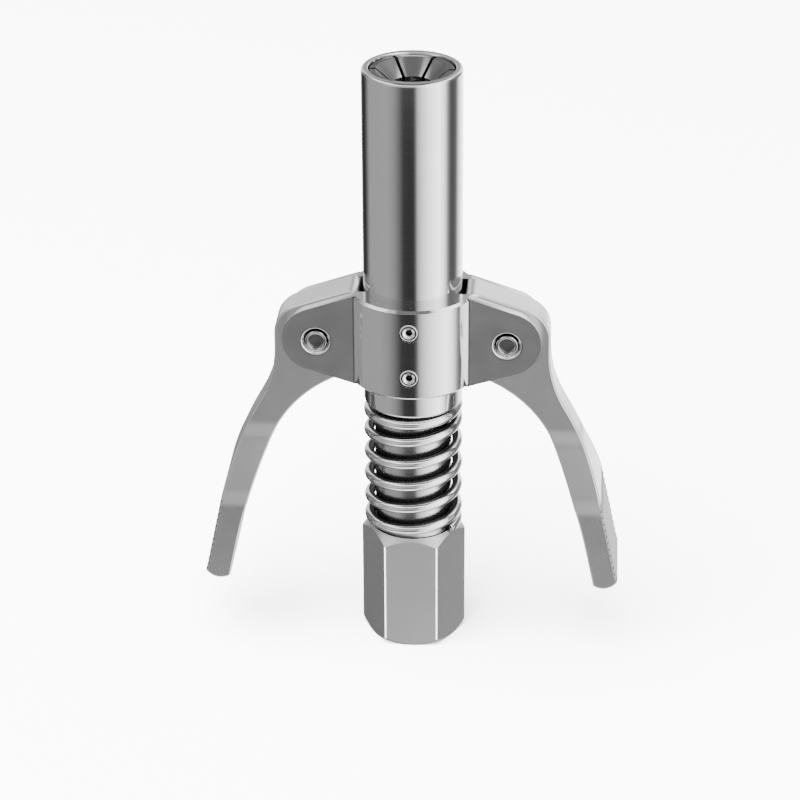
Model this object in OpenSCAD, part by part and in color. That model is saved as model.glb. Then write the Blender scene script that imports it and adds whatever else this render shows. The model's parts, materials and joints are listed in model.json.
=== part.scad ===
// Locking grease coupler: six jaws in a sliding sleeve, worked by two squeeze levers.
// Millimetres. The hex end stands on z = 0, the mouth faces up and the levers lie along X.
// The set screws face -Y, which is the front.

/* [Hex body] */
// Width of the hex across its flats
hex_af = 15; // [14.5:0.5:18]
// Height of the hex
hex_h = 20; // [16:0.5:26]
// Bevel on the hex's two round faces, measured in from the flats
hex_face_inset = 0.1; // [0.05:0.05:0.5]
// Diameter of the threaded inlet's wall, an eighth-inch pipe thread before its threads
inlet_d = 8.7; // [8:0.1:9.6]
// Depth of the threaded inlet
inlet_depth = 11; // [8:0.5:13]
// Diameter of the grease passage through the stem
passage_d = 3.2; // [2:0.2:4]
// Diameter of the stem that the sleeve slides on
stem_d = 12.6; // [12.4:0.1:13]
// Depth of the stem's groove that the lever fingers push in
groove_depth = 1.3; // [1:0.1:1.6]

/* [Sleeve] */
// Outside diameter of the sleeve
sleeve_d = 16; // [15.6:0.2:18]
// Length of the sleeve
sleeve_len = 57.5; // [52:0.5:64]
// Radial clearance of the sleeve on the stem
slide_gap = 0.05; // [0.03:0.01:0.1]
// Round-off of the sleeve's rim
rim_edge = 0.45; // [0.2:0.05:0.6]
// Radius of the sleeve's mouth at its rim
mouth_r = 6.9; // [6.8:0.05:7.2]
// Angle of the mouth's closing cone from the axis
cone_angle = 11.8; // [9:0.2:15]

/* [Collar] */
// Wall of the collar around the sleeve
collar_wall = 2.35; // [2.2:0.05:3]
// Height of the collar
collar_h = 15.6; // [14:0.2:18]
// Height of the collar's foot above the sleeve's lower end
collar_up = 4.6; // [3.5:0.1:6]
// Bevel on the collar's edges
collar_edge = 0.4; // [0.2:0.05:0.6]
// Thickness of one ear
ear_t = 1.8; // [1.4:0.1:2.4]
// Radius of an ear's round end
ear_end_r = 5.5; // [5:0.1:6]
// Height of an ear's round end over the pin
ear_rise = 0.3; // [0:0.1:0.6]
// Reach of the pin beyond the collar's wall
ear_reach = 5.05; // [4.6:0.05:6]
// Height of the pin above the collar's foot
pivot_up = 7.4; // [7:0.1:8]
// Web left at the foot of a lever slot
web_t = 0.9; // [0.7:0.05:1.1]
// Height of that web
web_h = 2.8; // [2:0.1:3]

/* [Levers] */
// Thickness of a lever between the ears
lever_t = 5.8; // [5:0.1:6.4]
// Width of a lever's thumb pad
lever_pad_t = 15; // [12:0.5:17]
// Side clearance of a lever between its ears
lever_gap = 0.1; // [0.05:0.05:0.2]
// How far a lever turns when it is squeezed, in degrees
squeeze = 22; // [18:1:23]
// Length of a lever below its pin
lever_drop = 43.4; // [42:0.2:46]
// Depth below the pin at which a lever starts to widen to its thumb pad
flare_drop = 16.4; // [15.4:0.2:18]
// Distance of a lever's top edge from its pin
lever_top = 6.12; // [5.95:0.05:6.5]
// Fall of a lever's top edge, in degrees
lever_top_fall = 18.65; // [16:0.5:20]
// Distance of a lever's outer side from its pin
lever_side = 6.95; // [6.6:0.05:7.4]
// Gap between a lever's rounded nose and the sleeve
nose_gap = 0.55; // [0.4:0.05:0.8]
// Thickness of a lever's finger
finger_t = 5; // [4:0.1:5.4]
// Wedge angle of a lever's finger, in degrees
finger_wedge = 17; // [14:1:18]
// Pitch of the grip grooves on a thumb pad
ridge_pitch = 1.2; // [0.9:0.05:1.4]
// Depth of the grip grooves
ridge_depth = 0.25; // [0.15:0.05:0.4]
// Count of the grip grooves
ridge_count = 12; // [6:1:13]

/* [Pins and screws] */
// Diameter of a lever pin
pin_d = 3.5; // [3:0.1:4]
// Radial clearance of a pin in its lever and ears
pin_gap = 0.05; // [0.03:0.01:0.1]
// Diameter of the countersink around a pin's end
pin_sink_d = 4.9; // [4.6:0.1:5.6]
// Diameter of the cup in a pin's end
pin_cup_d = 2.6; // [2:0.1:2.8]
// Diameter of a set screw
screw_d = 3; // [2.5:0.1:3.6]
// Hex socket of a set screw, across its flats
socket_af = 1.5; // [1.2:0.1:1.8]
// Distance of each set screw from the collar's nearer end
screw_inset = 3.8; // [2.6:0.2:5]

/* [Main spring] */
// Space for the spring between the hex and the sleeve
spring_len = 23; // [20:0.5:28]
// Diameter of the spring's wire
spring_wire = 1.7; // [1.4:0.05:1.8]
// Turns of the spring, closed ends included
spring_turns = 6; // [5:0.25:8]
// Radial clearance of the spring on the stem
spring_gap = 0.15; // [0.1:0.05:0.3]

/* [Jaws] */
// Length of a jaw
jaw_len = 16; // [14.5:0.5:19]
// Depth of the jaws' top below the sleeve's rim
jaw_sink = 0.4; // [0.2:0.05:0.8]
// Gap between two jaws
jaw_slot = 0.4; // [0.2:0.05:0.6]
// Radius of the jaws' gripping lip
lip_r = 3.05; // [2.8:0.05:3.2]
// Height of the gripping lip
lip_h = 0.9; // [0.6:0.1:1.3]
// Radius of the entry funnel at the jaws' top
funnel_r = 5.7; // [5.2:0.1:6]
// Depth of the entry funnel
funnel_h = 2.3; // [1.8:0.1:2.8]
// Depth of the pocket for the nipple's head
pocket_h = 4; // [3.5:0.1:4.5]
// Thickness of the elastic ring around the jaws' feet
ring_t = 0.8; // [0.6:0.05:0.9]

/* [Seal] */
// Diameter of the seal
seal_d = 8.7; // [8:0.1:8.8]
// Thickness of the seal
seal_h = 2.1; // [1.6:0.1:2.6]
// Hole through the seal
seal_hole_d = 2.2; // [1.6:0.1:2.6]
// Travel of the seal against its spring
seal_travel = 1; // [0.6:0.1:1.2]
// Wire of the seal's spring
seal_wire = 0.6; // [0.4:0.05:0.7]
// Turns of the seal's spring
seal_turns = 5; // [4:0.5:6]

/* [Hidden] */
$fn = 96;
eps = 0.01;
far = 60;

// Small clearances between pieces that touch or pass
snug = 0.02;
pass_gap = 0.15;
clear_gap = 0.3;

// Axial stations of the sliding group at rest
sleeve_z0 = hex_h + spring_len;
sleeve_z1 = sleeve_z0 + sleeve_len;
collar_z0 = sleeve_z0 + collar_up;
collar_z1 = collar_z0 + collar_h;
pivot_z = collar_z0 + pivot_up;

// Radii of the turned pieces
hex_flat_r = hex_af / 2;
hex_corner_r = hex_flat_r / cos(30);
stem_r = stem_d / 2;
groove_r = stem_r - groove_depth;
sleeve_r = sleeve_d / 2;
sleeve_bore_r = stem_r + slide_gap;
collar_bore_r = sleeve_r + snug;
collar_r = sleeve_r + collar_wall;
web_r = collar_bore_r + web_t;
pivot_x = collar_r + ear_reach;

// Collar's slots and ears
slot_half = lever_t / 2 + lever_gap;
ear_y = slot_half + ear_t;
ear_c = [pivot_x, pivot_z + ear_rise];
ear_root_x = sqrt(pow(collar_r, 2) - pow(ear_y, 2));
pin_sink_h = (pin_sink_d - pin_d) / 2;
screw_lower_z = collar_z0 + screw_inset;
screw_upper_z = collar_z1 - screw_inset;

// Lever finger: at half squeeze its working edge lies level with the pin
half_squeeze = squeeze / 2;
groove_clear = 0.4;
finger_reach = pivot_x - groove_r - groove_clear;
finger_arm = finger_reach - clear_gap;
sleeve_travel = 2 * finger_arm * sin(half_squeeze);
groove_z1 = pivot_z - finger_arm * sin(half_squeeze) + clear_gap;
groove_z0 = pivot_z - finger_reach * sin(half_squeeze + finger_wedge) - clear_gap;
window_z1 = pivot_z + finger_reach * sin(half_squeeze) + clear_gap;
window_half = finger_t / 2 + clear_gap;

// Lever outline, in coordinates whose origin is the pin
head_round = 5.2;
nose_round = 1.2;
nose_plan_r = 2.4;
nose_u = sleeve_r + nose_gap - pivot_x;
flat_d = pivot_x - web_r - clear_gap;
flat_len = 5;
arm_angles = [68, 25, 12];
inner_radii = [21, 85];
side_len = 2;
hollow_r = 20;
hollow_angle = 30;
outer_r = 59;
tip_bulge = 0.9;
ridge_start = 0.4;
flare_r = 6;
flare_angle = 26;

// Jaws and the stem's end that holds their feet
jaw_z1 = sleeve_z1 - jaw_sink;
jaw_z0 = jaw_z1 - jaw_len;
seat_z = jaw_z0 - pass_gap;
jaw_play = 0.35;
jaw_r = sleeve_bore_r - jaw_play;
jaw_head_r = mouth_r - jaw_sink * tan(cone_angle) - pass_gap;
jaw_head_h = (jaw_head_r - jaw_r) / tan(cone_angle);
hook_h = 2.2;
neck_r = 3.9;
neck_h = hook_h + 2 * pass_gap;
flange_r = 4.9;
flange_h = 2;
flange_z1 = seat_z + neck_h + flange_h;
lip_z1 = jaw_z1 - funnel_h;
lip_z0 = lip_z1 - lip_h;
pocket_step = 0.55;
pocket_r = lip_r + pocket_step;
shelf_z = lip_z0 - pocket_h;
ring_z = jaw_z0 + hook_h / 2;
ring_r = jaw_r - ring_t / 2 + slide_gap;
ring_groove_h = ring_t + 2 * pass_gap;
ring_groove_r = ring_r - ring_t / 2 - 2 * slide_gap;

// Seal, its cup and its spring
seal_r = seal_d / 2;
seal_z1 = shelf_z - pass_gap;
seal_z0 = seal_z1 - seal_h;
cup_z1 = seal_z0 - snug;
cup_flange_h = cup_z1 - flange_z1 - seal_travel - pass_gap;
cup_z0 = cup_z1 - cup_flange_h;
spigot_r = 2.5;
spigot_h = 2.4;
spigot_z0 = cup_z0 - spigot_h;
spigot_gap = 0.2;
well_r = spigot_r + spigot_gap;
well_depth = 7.5;
well_z0 = flange_z1 - well_depth;

// A point at a distance and a direction
function polar(r, a) = [r * cos(a), r * sin(a)];

// Points of an arc around a centre, in n steps
function arc(c, r, a0, a1, n) = [for (i = [0 : n]) c + polar(r, a0 + (a1 - a0) * i / n)];

// The point where a line from p touches the circle of radius r around c, on side s
function tangent_point(p, c, r, s) =
    let (away = p - c, swing = acos(r / norm(away)))
    c + polar(r, atan2(away.y, away.x) + s * swing);

// Height of a spring's wire after n turns: closed coils at both ends and an even pitch between them
closed_turns = 0.55;
ramp_turns = 0.3;
function climb(n, wire, pitch) =
    let (ramp = max(0, min(n - closed_turns, ramp_turns)), open = max(0, n - closed_turns - ramp_turns))
    wire * n + (pitch - wire) * (pow(ramp, 2) / (2 * ramp_turns) + open);
function coil_height(n, turns, rise, wire) =
    let (pitch = wire + (rise - wire * turns) / (turns - 2 * closed_turns - ramp_turns))
    n <= turns / 2 ? climb(n, wire, pitch) : rise - climb(turns - n, wire, pitch);

// A coil spring that fills the height from z0 to z1
module coil(mean_r, wire, z0, z1, turns, phase, steps, sides) {
    rings = ceil(turns * steps);
    rise = z1 - z0 - wire - 2 * snug;
    foot = z0 + snug + wire / 2;
    points = [for (i = [0 : rings])
        let (n = turns * i / rings, a = phase + 360 * n, z = foot + coil_height(n, turns, rise, wire))
        for (j = [0 : sides - 1])
        let (r = mean_r + wire / 2 * cos(360 * j / sides))
        [r * cos(a), r * sin(a), z + wire / 2 * sin(360 * j / sides)]];
    skin = [for (i = [0 : rings - 1], j = [0 : sides - 1])
        let (k = (j + 1) % sides, near = i * sides, next = near + sides)
        each [[near + j, near + k, next + k], [near + j, next + k, next + j]]];
    first_end = [for (j = [sides - 1 : -1 : 0]) j];
    last_end = [for (j = [0 : sides - 1]) rings * sides + j];
    polyhedron(points, concat(skin, [first_end, last_end]));
}

// A shape drawn in X and Z, thickened to both sides of the XZ plane
module plate(thickness) {
    translate([0, thickness / 2, 0])
        rotate([90, 0, 0])
            linear_extrude(thickness)
                children();
}

// The hex prism with both ends bevelled round
module hex_end() {
    face_r = hex_flat_r - hex_face_inset;
    drop = hex_corner_r - face_r;
    intersection() {
        cylinder(r = hex_corner_r, h = hex_h, $fn = 6);
        rotate_extrude()
            polygon([[0, 0], [face_r, 0], [hex_corner_r, drop], [hex_corner_r, hex_h - drop],
                [face_r, hex_h], [0, hex_h]]);
    }
}

// The stem with the groove for the lever fingers and the flanged end that holds the jaws' feet
module stem() {
    lead = 0.4;
    neck_z1 = seat_z + neck_h;
    rotate_extrude()
        polygon([[0, hex_h / 2], [stem_r, hex_h / 2], [stem_r, groove_z0], [groove_r, groove_z0],
            [groove_r, groove_z1], [stem_r, groove_z1], [stem_r, seat_z - lead], [stem_r - lead, seat_z],
            [neck_r, seat_z], [neck_r, neck_z1], [flange_r, neck_z1], [flange_r, flange_z1 - lead],
            [flange_r - lead, flange_z1], [0, flange_z1]]);
}

module hex_body() {
    drill_point = inlet_d / 4;
    color("lightsteelblue")
        difference() {
            union() {
                hex_end();
                stem();
            }
            translate([0, 0, -eps])
                cylinder(d = inlet_d, h = inlet_depth + eps);
            translate([0, 0, inlet_depth - eps])
                cylinder(d1 = inlet_d, d2 = passage_d, h = drill_point);
            cylinder(d = passage_d, h = flange_z1);
            translate([0, 0, well_z0])
                cylinder(r = well_r, h = well_depth + eps);
        }
}

module sleeve() {
    cone_h = (mouth_r - sleeve_bore_r) / tan(cone_angle);
    color("gainsboro")
        difference() {
            rotate_extrude()
                polygon([[sleeve_bore_r, sleeve_z0], [sleeve_r - rim_edge, sleeve_z0],
                    [sleeve_r, sleeve_z0 + rim_edge], [sleeve_r, sleeve_z1 - rim_edge],
                    [sleeve_r - rim_edge, sleeve_z1], [mouth_r, sleeve_z1],
                    [sleeve_bore_r, sleeve_z1 - cone_h]]);
            translate([-far / 2, -window_half, groove_z0])
                cube([far, 2 * window_half, window_z1 - groove_z0]);
        }
}

// Side view of both ears on one side, down to the collar's middle
module ear_outline() {
    top_root = [ear_root_x, collar_z1];
    foot_root = [ear_root_x, collar_z0];
    polygon([[0, collar_z0], foot_root, tangent_point(foot_root, ear_c, ear_end_r, 1),
        tangent_point(top_root, ear_c, ear_end_r, -1), top_root, [0, collar_z1]]);
    translate(ear_c)
        circle(ear_end_r);
}

// The space that one lever turns in: a web stays at its foot, so that the collar is one piece
module lever_slot() {
    difference() {
        translate([0, -slot_half, collar_z0 - eps])
            cube([far, 2 * slot_half, collar_h + 2 * eps]);
        translate([0, 0, collar_z0 - 2 * eps])
            cylinder(r = web_r, h = web_h + 2 * eps);
    }
}

// The pin's hole through both ears, countersunk at each end
module pin_hole() {
    translate([pivot_x, 0, pivot_z])
        rotate([90, 0, 0]) {
            cylinder(d = pin_d + 2 * pin_gap, h = far, center = true);
            for (end = [0, 1])
                mirror([0, 0, end])
                    translate([0, 0, ear_y - pin_sink_h + eps])
                        cylinder(d1 = pin_d + 2 * pin_gap, d2 = pin_sink_d, h = pin_sink_h);
        }
}

module collar_side() {
    difference() {
        plate(2 * ear_y)
            ear_outline();
        lever_slot();
        pin_hole();
    }
}

module collar() {
    inner_r = sleeve_bore_r;
    color("silver")
        difference() {
            union() {
                difference() {
                    rotate_extrude()
                        polygon([[inner_r, collar_z0], [collar_r - collar_edge, collar_z0],
                            [collar_r, collar_z0 + collar_edge], [collar_r, collar_z1 - collar_edge],
                            [collar_r - collar_edge, collar_z1], [inner_r, collar_z1]]);
                    lever_slot();
                    mirror([1, 0, 0])
                        lever_slot();
                }
                collar_side();
                mirror([1, 0, 0])
                    collar_side();
            }
            translate([0, 0, collar_z0 - eps])
                cylinder(r = collar_bore_r, h = collar_h + 2 * eps);
            for (z = [screw_lower_z, screw_upper_z])
                translate([0, 0, z])
                    rotate([90, 0, 0])
                        cylinder(d = screw_d + 2 * pin_gap, h = far);
        }
}

// Edges of the right lever's arm, from the pin
pad_a = arm_angles[2];
hollow_c = [lever_side + hollow_r, -side_len];
hollow = arc(hollow_c, hollow_r, 180, 180 + hollow_angle, 7);
outer_c = hollow[7] - polar(outer_r, hollow_angle);
outer = arc(outer_c, outer_r, hollow_angle, pad_a, 6);
flat_n = 180 + squeeze;
flat_start = polar(flat_d, flat_n);
flat_end = flat_start + polar(flat_len, flat_n + 90);
elbow_c = flat_end - polar(inner_radii[0], arm_angles[0]);
elbow = arc(elbow_c, inner_radii[0], arm_angles[1], arm_angles[0], 11);
inner_c = elbow[0] - polar(inner_radii[1], arm_angles[1]);
inner = arc(inner_c, inner_radii[1], pad_a, arm_angles[1], 6);
tip_in = inner[0] + polar((inner[0].y + lever_drop - tip_bulge) / cos(pad_a), pad_a - 90);
pad_w = (outer[6] - tip_in) * polar(1, pad_a);
tip_out = tip_in + polar(pad_w, pad_a);
tip_r = (pad_w * pad_w / 4 + tip_bulge * tip_bulge) / (2 * tip_bulge);
tip_c = (tip_in + tip_out) / 2 + polar(tip_r - tip_bulge, pad_a + 90);
tip_span = asin(pad_w / 2 / tip_r);

// Outline of the right lever's nose, head, arm and thumb pad, seen from the front
module lever_outline() {
    top_n = 90 - lever_top_fall;
    nose_cu = nose_u + nose_round;
    head_cu = lever_side - head_round;
    nose_c = [nose_cu, (lever_top - nose_round - cos(top_n) * nose_cu) / sin(top_n)];
    head_c = [head_cu, (lever_top - head_round - cos(top_n) * head_cu) / sin(top_n)];
    tip = arc(tip_c, tip_r, pad_a - 90 + tip_span, pad_a - 90 - tip_span, 8);
    polygon(concat(
        arc(nose_c, nose_round, 180, top_n, 6), arc(head_c, head_round, top_n, 0, 9), hollow, outer, tip,
        inner, elbow, [flat_end, flat_start, [nose_u, nose_u * tan(half_squeeze)]]));
}

// The finger that reaches through the sleeve's window into the stem's groove
module finger_outline() {
    intersection() {
        circle(finger_reach);
        polygon([[0, 0], polar(far, 180 + half_squeeze), polar(far, 180 + half_squeeze + finger_wedge)]);
    }
}

// Front-to-back thickness of the lever along its height: the thumb pad is wider than the head
module lever_thickness() {
    slant_rise = (lever_pad_t - lever_t) / 2 - 2 * flare_r * (1 - cos(flare_angle));
    side_c = [lever_t / 2 + flare_r, -flare_drop];
    hollow_side = arc(side_c, flare_r, 180, 180 + flare_angle, 5);
    bulge_top = hollow_side[5] + polar(slant_rise / sin(flare_angle), flare_angle - 90);
    bulge_side = arc(bulge_top - polar(flare_r, flare_angle), flare_r, flare_angle, 0, 5);
    half = concat([[lever_t / 2, far]], hollow_side, bulge_side, [[lever_pad_t / 2, -far]]);
    other_half = [for (i = [len(half) - 1 : -1 : 0]) [-half[i].x, half[i].y]];
    polygon(concat(half, other_half));
}

// Top view of the lever: its nose is rounded towards the sleeve
module lever_plan() {
    corner_y = lever_t / 2 - nose_plan_r;
    translate([nose_u + nose_plan_r, -far / 2])
        square([far, far]);
    translate([nose_u, -corner_y])
        square([far, 2 * corner_y]);
    for (side = [-1, 1])
        translate([nose_u + nose_plan_r, side * corner_y])
            circle(nose_plan_r);
}

// V grooves across the outer face of the thumb pad, from its tip up the straight and on round the arm
module grip_grooves() {
    straight = norm(tip_out - outer[6]);
    for (i = [0 : ridge_count - 1]) {
        along = ridge_start + ridge_pitch * (i + 0.5);
        past = max(0, along - straight);
        turn = pad_a + past / outer_r * 180 / PI;
        at = past > 0 ? outer_c + polar(outer_r, turn) : tip_out + polar(along, pad_a + 90);
        translate([at.x, 0, at.y])
            rotate([90, -turn, 0])
                cylinder(r = ridge_depth, h = far, center = true, $fn = 4);
    }
}

module lever() {
    color("silver")
        translate([pivot_x, 0, pivot_z])
            difference() {
                union() {
                    intersection() {
                        plate(far)
                            lever_outline();
                        rotate([90, 0, 90])
                            translate([0, 0, -far])
                                linear_extrude(2 * far)
                                    lever_thickness();
                        translate([0, 0, -far])
                            linear_extrude(2 * far)
                                lever_plan();
                    }
                    plate(finger_t)
                        finger_outline();
                }
                rotate([90, 0, 0])
                    cylinder(d = pin_d + 2 * pin_gap, h = far, center = true);
                grip_grooves();
            }
}

module lever_left() {
    mirror([1, 0, 0])
        lever();
}

module lever_right() {
    lever();
}

// A straight pin with a cup in each end
module lever_pin() {
    cup_depth = 0.6;
    color("gainsboro")
        translate([pivot_x, 0, pivot_z])
            rotate([90, 0, 0])
                difference() {
                    cylinder(d = pin_d, h = 2 * ear_y, center = true);
                    for (end = [0, 1])
                        mirror([0, 0, end])
                            translate([0, 0, ear_y - cup_depth])
                                cylinder(d = pin_cup_d, h = cup_depth + eps);
                }
}

module lever_pin_left() {
    mirror([1, 0, 0])
        lever_pin();
}

module lever_pin_right() {
    lever_pin();
}

// A headless screw whose tip bears on the sleeve
module set_screw(z) {
    inset = 0.15;
    bevel = 0.3;
    tip_y = sleeve_r + snug;
    head_y = collar_r - inset;
    socket_depth = 1.2;
    color("dimgray")
        translate([0, 0, z])
            rotate([90, 0, 0])
                difference() {
                    rotate_extrude()
                        polygon([[0, tip_y], [screw_d / 2, tip_y], [screw_d / 2, head_y - bevel],
                            [screw_d / 2 - bevel, head_y], [0, head_y]]);
                    translate([0, 0, head_y - socket_depth])
                        cylinder(d = socket_af / cos(30), h = far, $fn = 6);
                }
}

module set_screw_upper() {
    set_screw(screw_upper_z);
}

module set_screw_lower() {
    set_screw(screw_lower_z);
}

module main_spring() {
    mean_r = stem_r + spring_gap + spring_wire / 2;
    phase = 18;
    color("lightgray")
        coil(mean_r, spring_wire, hex_h, sleeve_z0, spring_turns, phase, steps = 28, sides = 10);
}

// Half section of the jaws: hook at the foot, pocket for the nipple's head, lip and entry funnel
module jaw_section() {
    flange_pass_r = flange_r + pass_gap;
    seal_pass_r = seal_r + pass_gap;
    hook_z1 = jaw_z0 + hook_h;
    step_z = flange_z1 + pass_gap;
    polygon([[neck_r + pass_gap, jaw_z0], [jaw_r, jaw_z0], [jaw_r, ring_z - ring_groove_h / 2],
        [ring_groove_r, ring_z - ring_groove_h / 2], [ring_groove_r, ring_z + ring_groove_h / 2],
        [jaw_r, ring_z + ring_groove_h / 2], [jaw_r, jaw_z1 - jaw_head_h], [jaw_head_r, jaw_z1],
        [funnel_r, jaw_z1], [lip_r, lip_z1], [lip_r, lip_z0], [pocket_r, lip_z0 - pocket_step],
        [pocket_r, shelf_z], [seal_pass_r, shelf_z], [seal_pass_r, step_z], [flange_pass_r, step_z],
        [flange_pass_r, hook_z1], [neck_r + pass_gap, hook_z1]]);
}

// One of the six jaws, counted from the back
module jaw(index) {
    sector = 60;
    color("darkgray")
        rotate([0, 0, 90 + sector * index])
            difference() {
                rotate([0, 0, -sector / 2])
                    rotate_extrude(angle = sector)
                        jaw_section();
                for (side = [-1, 1])
                    rotate([0, 0, side * sector / 2])
                        translate([0, -jaw_slot / 2, jaw_z0 - eps])
                            cube([far, jaw_slot, jaw_len + 2 * eps]);
            }
}

module jaw_ring() {
    color("black")
        rotate_extrude()
            translate([ring_r, ring_z])
                circle(ring_t / 2);
}

// Ring seal with a dished top that takes the nipple's tip
module seal() {
    dish_rim = 1.6;
    dish_r = seal_r - dish_rim;
    dish_h = 0.7;
    color("goldenrod")
        rotate_extrude()
            polygon([[seal_hole_d / 2, seal_z0], [seal_r, seal_z0], [seal_r, seal_z1], [dish_r, seal_z1],
                [seal_hole_d / 2, seal_z1 - dish_h]]);
}

// Steel cup under the seal, guided by its spigot in the stem's well
module seal_cup() {
    color("gainsboro")
        rotate_extrude()
            polygon([[seal_hole_d / 2, spigot_z0], [spigot_r, spigot_z0], [spigot_r, cup_z0],
                [seal_r, cup_z0], [seal_r, cup_z1], [seal_hole_d / 2, cup_z1]]);
}

module seal_spring() {
    mean_r = spigot_r - seal_wire / 2;
    color("lightgray")
        coil(mean_r, seal_wire, well_z0, spigot_z0, seal_turns, phase = 0, steps = 18, sides = 8);
}

hex_body();
sleeve();
collar();
lever_left();
lever_right();
lever_pin_left();
lever_pin_right();
set_screw_upper();
set_screw_lower();
main_spring();
jaw(0);  // jaw_1
jaw(1);  // jaw_2
jaw(2);  // jaw_3
jaw(3);  // jaw_4
jaw(4);  // jaw_5
jaw(5);  // jaw_6
jaw_ring();
seal();
seal_cup();
seal_spring();
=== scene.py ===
"""Looks of a locking grease coupler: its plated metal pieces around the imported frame, on a pale floor."""

import json
import math

import bmesh
import bpy
from mathutils import Matrix, Vector


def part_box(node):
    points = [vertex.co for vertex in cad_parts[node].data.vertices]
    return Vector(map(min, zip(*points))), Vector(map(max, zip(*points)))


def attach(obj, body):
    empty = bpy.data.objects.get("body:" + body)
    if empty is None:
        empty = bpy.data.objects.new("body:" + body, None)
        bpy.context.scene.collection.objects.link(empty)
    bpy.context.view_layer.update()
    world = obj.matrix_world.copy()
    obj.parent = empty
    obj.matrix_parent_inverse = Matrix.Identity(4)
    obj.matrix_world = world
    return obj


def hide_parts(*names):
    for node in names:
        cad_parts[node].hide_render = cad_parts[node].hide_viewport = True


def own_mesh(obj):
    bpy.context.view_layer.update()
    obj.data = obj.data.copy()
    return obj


bl_info = {
    "name": "Grease coupler",
    "version": (1, 0, 0),
    "blender": (4, 5, 0),
    "location": "3D View > Sidebar > Coupler",
    "description": "Builds the visible pieces of a locking grease coupler around its frame",
    "category": "Add Mesh",
}

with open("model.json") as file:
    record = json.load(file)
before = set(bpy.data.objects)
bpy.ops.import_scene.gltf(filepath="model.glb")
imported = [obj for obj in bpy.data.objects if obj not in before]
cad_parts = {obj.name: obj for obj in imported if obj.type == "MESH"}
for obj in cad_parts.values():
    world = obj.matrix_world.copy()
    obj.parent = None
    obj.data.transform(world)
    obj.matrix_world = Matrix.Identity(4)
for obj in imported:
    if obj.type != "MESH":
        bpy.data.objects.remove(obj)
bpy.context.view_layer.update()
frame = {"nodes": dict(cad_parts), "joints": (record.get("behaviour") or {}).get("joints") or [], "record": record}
JOINTS = {joint["name"]: joint for joint in frame["joints"]}
MOUNTS = {mount["name"]: mount for mount in frame["record"]["mounts"]}

MM = 0.001
TINY = 1e-6
TURN = 2 * math.pi
RING_STEPS = 96
CREASE = math.radians(28)

# Places that the frame gives
PIVOT = Vector(JOINTS["lever_right_squeeze"]["pos_m"])
SQUEEZE = JOINTS["lever_right_squeeze"]["range_deg"][1]
TRAVEL = JOINTS["sleeve_slide"]["range_m"][1]
HEX_TOP = JOINTS["sleeve_slide"]["deforming_nodes"][0]["fixed_end_z_m"]
SLEEVE_LOW, SLEEVE_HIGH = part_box("sleeve")
BODY_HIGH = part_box("hex_body")[1]
COLLAR_LOW, COLLAR_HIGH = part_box("collar")
JAW_LOW, JAW_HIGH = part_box("jaw_1")
SPRING_LOW, SPRING_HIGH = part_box("main_spring")
SEAL_LOW, SEAL_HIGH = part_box("seal")
INLET_R = MOUNTS["inlet_thread"]["dims"]["r_mm"] * MM
INLET_DEPTH = MOUNTS["inlet_thread"]["dims"]["length_mm"] * MM
LIP_R = MOUNTS["nipple_grip"]["dims"]["r_mm"] * MM
LIP_H = MOUNTS["nipple_grip"]["dims"]["length_mm"] * MM
LIP_Z = MOUNTS["nipple_grip"]["pos_m"][2]

# Sizes that several pieces share
SEAT_INSET = 0.5 * MM
SEAT_R = BODY_HIGH.y - SEAT_INSET
SEAT_Z = HEX_TOP + 0.4 * MM
GROOVE_LOW, GROOVE_HIGH = 50.0 * MM, 53.45 * MM
WINDOW_LOW, WINDOW_HIGH = 50.0 * MM, 57.2 * MM
WINDOW_HALF = 2.8 * MM
SINK_R = 2.6 * MM
JAW_COUNT = 6
JAW_SECTOR = TURN / JAW_COUNT
CONE_SLOPE = math.tan(math.radians(11.8))
JAW_GAP = 0.15 * MM
# Near-black for painted shade under the coils, in the jaws' slots, in the ridges' grooves and along the spring's
# seat
DARKENING_TONE = (0.03, 0.03, 0.03)

# The photograph's camera, fitted to the coupler's outlines
CAMERA_AZIMUTH = 3.867
CAMERA_ELEVATION = 25.75
CAMERA_ROLL = -0.2
CAMERA_DISTANCE = 0.4589
CAMERA_TARGET = Vector((0, 0, 0.0535))
CAMERA_LENS = 127.14
CAMERA_SHIFT = (-0.0163, -0.0757)


def length(name, about, millimetres):
    """A size that the sidebar shows as a length."""
    return bpy.props.FloatProperty(
        name=name, description=about, default=millimetres * MM, unit="LENGTH", precision=5
    )


def tint(name, about, grey):
    """A colour that the sidebar shows as a swatch."""
    return bpy.props.FloatVectorProperty(
        name=name, description=about, default=grey, subtype="COLOR", size=3, min=0, max=1
    )


def share(name, about, default):
    """A number from 0 to 1."""
    return bpy.props.FloatProperty(
        name=name, description=about, default=default, min=0, max=1, subtype="FACTOR"
    )


def turns(name, about, default):
    """A number of a spring's turns."""
    return bpy.props.FloatProperty(name=name, description=about, default=default)


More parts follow.
